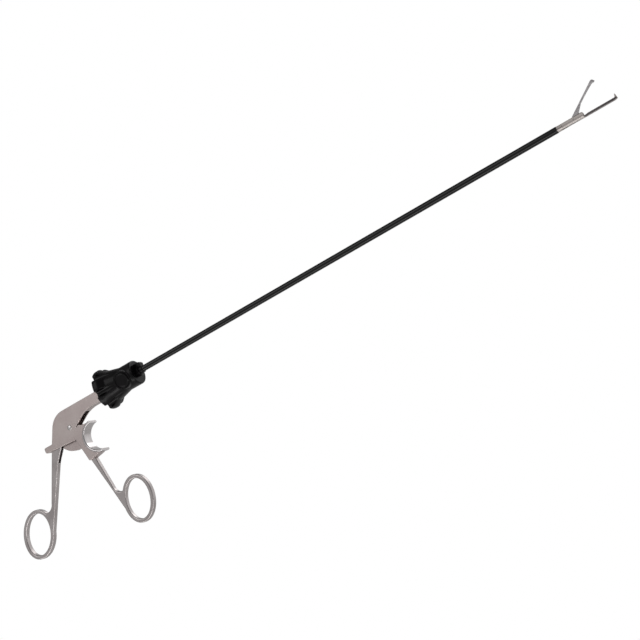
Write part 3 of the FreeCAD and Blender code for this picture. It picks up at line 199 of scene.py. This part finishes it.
def drawnSteel(name, shades):
    material, tree, shader = newMaterial(name)
    place = addNode(tree, "ShaderNodeTexCoord").outputs["Object"]
    stretch = addNode(tree, "ShaderNodeMapping", {
        "Scale": (1 / jawFinish["lineLength"], 1 / jawFinish["lineWidth"], 1 / jawFinish["lineWidth"])},
        {"Vector": place}).outputs[0]
    lines = addNode(tree, "ShaderNodeTexNoise", {"Scale": 1.0, "Detail": 1.0}, {
        "Vector": stretch}).outputs[0]
    softNormal = addNode(tree, "ShaderNodeBevel", {
        "samples": 6, "Radius": jawFinish["edgeWidth"]}).outputs[0]
    colour = blendColours(tree, spread(tree, lines, 0.35, 0.65), shades[0], shades[1])
    tree.links.new(colour, shader.inputs["Base Color"])
    matt = spread(tree, lines, 0.3, 0.7, jawFinish["roughness"] - 0.06, jawFinish["roughness"] + 0.08)
    tree.links.new(matt, shader.inputs["Roughness"])
    shader.inputs["Metallic"].default_value = 1.0
    bump = addNode(tree, "ShaderNodeBump", {"Strength": 0.4, "Distance": jawFinish["lineDepth"]}, {
        "Height": lines, "Normal": softNormal})
    tree.links.new(bump.outputs["Normal"], shader.inputs["Normal"])
    return material


# Glass-filled nylon moulded in a spark-eroded tool: deep black with a faint pebbled sheen,
# a little greyer and smoother where fingers rub it.
knobNylon = {
    "deep": "#040304",
    "rubbed": "#0d0a0d",
    "rub": 7 * mm,
    "pebble": 0.45 * mm,     # the tool's texture is about 0.2 mm, drawn coarser so that it shows
    "pebbleDepth": 0.02 * mm,
    "roughness": 0.25,
    "specular": 0.16,
}

# Extruded heat-shrunk polyolefin: glossy black with slow waves in its surface.
sleevePolyolefin = {
    "deep": "#030303",
    "rubbed": "#080708",
    "rub": 12 * mm,
    "pebble": 3 * mm,
    "pebbleDepth": 0.01 * mm,
    "roughness": 0.12,
    "specular": 0.3,
}

# Acetal bearing plastic, turned: cream with a soft sheen.
bearingAcetal = {
    "deep": "#c9c4b6",
    "rubbed": "#d8d3c6",
    "rub": 5 * mm,
    "pebble": 0.4 * mm,
    "pebbleDepth": 0.01 * mm,
    "roughness": 0.42,
    "specular": 0.5,
}

# Nitrile rubber rings: matt black.
sealNitrile = {
    "deep": "#131313",
    "rubbed": "#1f1e1e",
    "rub": 2 * mm,
    "pebble": 0.3 * mm,
    "pebbleDepth": 0.01 * mm,
    "roughness": 0.6,
    "specular": 0.4,
}


def finishPlastic(name, plastic):
    material, tree, shader = newMaterial(name)
    place = addNode(tree, "ShaderNodeTexCoord").outputs["Object"]
    pebble = addNode(tree, "ShaderNodeTexNoise", {
        "Scale": 1 / plastic["pebble"], "Detail": 3.0, "Roughness": 0.6}, {"Vector": place}).outputs[0]
    rub = addNode(tree, "ShaderNodeTexNoise", {
        "Scale": 1 / plastic["rub"], "Detail": 5.0, "Roughness": 0.65}, {"Vector": place}).outputs[0]
    colour = blendColours(tree, spread(tree, rub, 0.4, 0.72), plastic["deep"], plastic["rubbed"])
    tree.links.new(colour, shader.inputs["Base Color"])
    matt = spread(tree, rub, 0.3, 0.7, plastic["roughness"] + 0.05, plastic["roughness"] - 0.05)
    tree.links.new(matt, shader.inputs["Roughness"])
    shader.inputs["IOR"].default_value = 1.5
    shader.inputs["Specular IOR Level"].default_value = plastic["specular"]
    bump = addNode(tree, "ShaderNodeBump", {"Strength": 0.4, "Distance": plastic["pebbleDepth"]},
                   {"Height": pebble})
    tree.links.new(bump.outputs["Normal"], shader.inputs["Normal"])
    return material


handleSteel = finishSteel("bead blasted stainless steel", blastedSteel)
ringSteel = finishSteel("tumbled stainless steel", tumbledSteel)
restSteel = finishSteel("buffed stainless steel", buffedSteel)
innerSteel = finishSteel("ground stainless steel", groundSteel)
fixedJawSteel = drawnSteel("drawn fixed jaw steel", jawFinish["fixed"])
movingJawSteel = drawnSteel("drawn moving jaw steel", jawFinish["moving"])
# the rails' steel is painted dark, standing in for the dark reflection on the bar's top
paintedReflectionRailSteel = drawnSteel("burnished jaw steel", jawFinish["painted_dark_reflection"])
knobPlastic = finishPlastic("moulded black nylon", knobNylon)
sleevePlastic = finishPlastic("glossy black polyolefin", sleevePolyolefin)
bearingPlastic = finishPlastic("turned cream acetal", bearingAcetal)
sealRubber = finishPlastic("black nitrile rubber", sealNitrile)

useOn(handleSteel, "handle_frame")
useOn(ringSteel, "finger_ring", "thumb_ring")
useOn(restSteel, "finger_rest", "handle_pivot", "pivot_nut")
useOn(fixedJawSteel, "fixed_jaw")
useOn(movingJawSteel, "moving_jaw")
useOn(innerSteel, "latch_plate", "latch_spring", "shaft_hub", "seal_cap", "shaft_collar", "shaft_tube",
      "hub_dowels", "pull_rod", "rod_ball", "drive_tang", "jaw_pivot", "drive_pin")
useOn(knobPlastic, "rotation_knob", "release_button", "index_collar")
useOn(sleevePlastic, "insulation_sleeve")
useOn(bearingPlastic, "pivot_washers", "socket_bush")
useOn(sealRubber, "hub_seal", "rod_seal")
print("finishes are on")

# The moulded knob has soft edges on its lobes and flutes, which its CAD solid has sharp.
softKnob = {
    "grid": 0.3 * mm,
    "smoothing": 0.5,
    "rounds": 12,
}


def moulded(name, node, body, material, soft):
    # a copy of a CAD node's mesh on a fine even grid, with its edges worn round
    mesh = nodes[node].data.copy()
    piece = bpy.data.objects.new(name, mesh)
    piece.matrix_world = nodes[node].matrix_world.copy()
    bpy.context.scene.collection.objects.link(piece)
    grid = piece.modifiers.new("even grid", "REMESH")
    grid.mode = "VOXEL"
    grid.voxel_size = soft["grid"]
    ease = piece.modifiers.new("soft edges", "SMOOTH")
    ease.factor = soft["smoothing"]
    ease.iterations = soft["rounds"]
    shaped = bpy.data.meshes.new_from_object(
        piece.evaluated_get(bpy.context.evaluated_depsgraph_get()))
    piece.modifiers.clear()
    piece.data = shaped
    piece.data.materials.clear()
    piece.data.materials.append(material)
    for face in piece.data.polygons:
        face.use_smooth = True
    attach(piece, body)
    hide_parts(node)
    print(name, "has", len(piece.data.polygons), "faces")


moulded("soft_knob", "rotation_knob", "shaft", knobPlastic, softKnob)

# The fixed jaw's bar has a groove along its top: a rail stands on each side of it, and the
# moving jaw's hook comes down between them. All sizes here are in millimetres.
railSizes = {
    "start": 395.2, "ramp": 3.0, "end": 419.3, "taper": 1.8,
    "inner": 0.56, "outer": 1.14,
    "top": -0.52, "foot": -1.02, "low": -2.2, "tipLow": -1.72,
    "round": 0.16,
}

# The moving jaw's bar grows towards its tip and ends in a blunt curled hook. Each point is the
# distance from the jaw's pivot and the height in millimetres, with the jaw closed.
beakSizes = {
    "pivot": 387.8,
    "open": 36.0,
    "bar": ((13.0, 2.12), (13.0, 1.16), (18.0, 0.98), (23.0, 0.72), (26.0, 0.5), (27.3, 0.1), (27.7, -0.3),
            (28.5, -0.34), (28.98, 0.1), (28.99, 0.8), (28.8, 1.45), (28.4, 1.9), (27.9, 2.13)),
    "barHalf": 0.82,
    "tip": ((27.2, 0.3), (27.45, -0.25), (27.75, -0.62), (28.2, -0.69), (28.65, -0.5),
            (28.95, 0.0), (28.9, 0.5)),
    "tipHalf": 0.41,
    "round": 0.22,
}


def jawPiece(name, body, material, outlines, rounding):
    # each outline is a list of side points with the places of its two faces across the jaw
    mesh = bpy.data.meshes.new(name)
    shape = bmesh.new()
    for points, nearFace, farFace in outlines:
        rings = []
        for across in (nearFace, farFace):
            rings.append([shape.verts.new((x * mm, across * mm, z * mm)) for x, z in points])
        shape.faces.new(rings[0])
        shape.faces.new(list(reversed(rings[1])))
        for index in range(len(points)):
            after = (index + 1) % len(points)
            shape.faces.new((rings[0][after], rings[0][index], rings[1][index], rings[1][after]))
    bmesh.ops.recalc_face_normals(shape, faces=shape.faces)
    shape.to_mesh(mesh)
    shape.free()
    piece = bpy.data.objects.new(name, mesh)
    bpy.context.scene.collection.objects.link(piece)
    edges = piece.modifiers.new("rounded edges", "BEVEL")
    edges.width = rounding * mm
    edges.segments = 4
    edges.limit_method = "ANGLE"
    for face in mesh.polygons:
        face.use_smooth = True
    mesh.materials.append(material)
    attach(piece, body)
    print(name, "is made")


def railOutline(rail):
    # a rail seen from the side
    return [(rail["start"], rail["low"]), (rail["end"] - rail["taper"], rail["low"]),
            (rail["end"], rail["tipLow"]), (rail["end"], rail["top"]),
            (rail["start"] + rail["ramp"], rail["top"]), (rail["start"], rail["foot"])]


def opened(points, beak):
    # turns points of the closed jaw about its pivot to where they are at rest
    angle = math.radians(beak["open"])
    turned = []
    for reach, height in points:
        turned.append((beak["pivot"] + reach * math.cos(angle) - height * math.sin(angle),
                       reach * math.sin(angle) + height * math.cos(angle)))
    return turned


railSide = railOutline(railSizes)
# the rails are drawn in the steel painted dark, a painted reflection along the bar's top
jawPiece("fixed_jaw_rails", "shaft", paintedReflectionRailSteel, [
    (railSide, -railSizes["outer"], -railSizes["inner"]),
    (railSide, railSizes["inner"], railSizes["outer"])], railSizes["round"])
jawPiece("moving_jaw_beak", "jaw", movingJawSteel, [
    (opened(beakSizes["bar"], beakSizes), -beakSizes["barHalf"], beakSizes["barHalf"]),
    (opened(beakSizes["tip"], beakSizes), -beakSizes["tipHalf"], beakSizes["tipHalf"])], beakSizes["round"])

# The photograph was taken about a metre away, a little from the front and from below the handle.
photoView = {
    "place": (0.4939, -0.8096, -0.2055),
    "right": (0.8094, 0.4226, -0.4078),
    "up": (0.4500, 0.0, 0.8930),
    "back": (0.3774, -0.9063, -0.1902),
    "sensor": 36.0,
    "lens": 67.39,
}
cameraData = bpy.data.cameras.new("camera")
cameraData.sensor_width = photoView["sensor"]
cameraData.lens = photoView["lens"]
camera = bpy.data.objects.new("camera", cameraData)
bpy.context.scene.collection.objects.link(camera)
turn = Matrix((photoView["right"], photoView["up"], photoView["back"])).transposed()
camera.matrix_world = Matrix.Translation(Vector(photoView["place"])) @ turn.to_4x4()
bpy.context.scene.camera = camera

# Each lamp: where it is, what it points at, its length and width, its power in watts.
studio = {
    "floorMiddle": (0.15, 0, -0.6),
    "floorHalf": 1.3,
    "floorColour": "#f4f4f3",
    "floorRoughness": 0.8,
    "ambient": 0.5,
    # what metal mirrors, from the room on the camera's side, past the dark sides of the room,
    # to the white backdrop beyond the object: each stop is (place, brightness)
    "mirrored": ((0.0, 0.6), (0.2, 0.44), (0.4, 0.12), (0.58, 0.16), (0.76, 0.5), (0.92, 0.88)),
    "backdrop": (0.50, 0.85, -0.05),
    "lamps": {
        "key": ((-0.35, -1.1, 0.75), (0.0, 0.0, -0.03), (1.0, 0.8), 3.0),
        "strip": ((0.0, -0.31, -0.49), (0.0, 0.0, 0.0), (1.5, 0.16), 2.2),
        "rim": ((0.5, 0.8, 0.8), (0.1, 0.0, 0.0), (0.9, 0.9), 4.0),
    },
}


def addLamp(name, place, target, size, power):
    lamp = bpy.data.lights.new(name, "AREA")
    lamp.shape = "RECTANGLE"
    lamp.size = size[0]
    lamp.size_y = size[1]
    lamp.energy = power
    holder = bpy.data.objects.new(name, lamp)
    holder.visible_camera = False    # only its light shows
    # the lamp's long side lies along the shaft
    away = (Vector(place) - Vector(target)).normalized()
    side = (Vector((1, 0, 0)) - away * away.x).normalized()
    holder.matrix_world = Matrix.Translation(Vector(place)) @ Matrix(
        (side, away.cross(side), away)).transposed().to_4x4()
    bpy.context.scene.collection.objects.link(holder)


for name, (place, target, size, power) in studio["lamps"].items():
    addLamp(name, place, target, size, power)

world = bpy.data.worlds.new("studio")
world.use_nodes = True
bpy.context.scene.world = world
worldTree = world.node_tree
worldTree.nodes.clear()
worldOutput = addNode(worldTree, "ShaderNodeOutputWorld")
path = addNode(worldTree, "ShaderNodeLightPath")
heading = addNode(worldTree, "ShaderNodeTexCoord").outputs["Generated"]
facing = addNode(worldTree, "ShaderNodeVectorMath", {"operation": "DOT_PRODUCT"}, {0: heading})
facing.inputs[1].default_value = Vector(studio["backdrop"]).normalized()
room = addNode(worldTree, "ShaderNodeValToRGB", None, {
    "Fac": spread(worldTree, facing.outputs["Value"], -1.0, 1.0)})
room.color_ramp.interpolation = "B_SPLINE"
while len(room.color_ramp.elements) < len(studio["mirrored"]):
    room.color_ramp.elements.new(0.5)
for stop, (where, brightness) in zip(room.color_ramp.elements, studio["mirrored"]):
    stop.position = where
    stop.color = (brightness, brightness, brightness, 1.0)
# soft light from all round, the room that metal mirrors, and plain white behind the object
white = {"Color": (1, 1, 1, 1), "Strength": 1.0}
soft = addNode(worldTree, "ShaderNodeBackground", {
    "Color": (1, 1, 1, 1), "Strength": studio["ambient"]})
mirrored = addNode(worldTree, "ShaderNodeBackground", white, {"Color": room.outputs[0]})
plain = addNode(worldTree, "ShaderNodeBackground", white)
shine = addNode(worldTree, "ShaderNodeMath", {"operation": "MAXIMUM"}, {
    0: path.outputs["Is Glossy Ray"], 1: path.outputs["Is Transmission Ray"]})
litOrMirrored = addNode(worldTree, "ShaderNodeMixShader", None, {
    0: shine.outputs[0], 1: soft.outputs[0], 2: mirrored.outputs[0]})
surroundings = addNode(worldTree, "ShaderNodeMixShader", None, {
    0: path.outputs["Is Camera Ray"], 1: litOrMirrored.outputs[0], 2: plain.outputs[0]})
worldTree.links.new(surroundings.outputs[0], worldOutput.inputs["Surface"])

bpy.ops.mesh.primitive_plane_add(size=2 * studio["floorHalf"], location=studio["floorMiddle"])
floor = bpy.context.object
floor.name = "floor"
floorMaterial, _, floorShader = newMaterial("white painted floor")
floorShader.inputs["Base Color"].default_value = toLinear(studio["floorColour"])
floorShader.inputs["Roughness"].default_value = studio["floorRoughness"]
floor.data.materials.append(floorMaterial)
bpy.context.scene.view_settings.view_transform = "Standard"
print("camera, lamps and floor are in place")
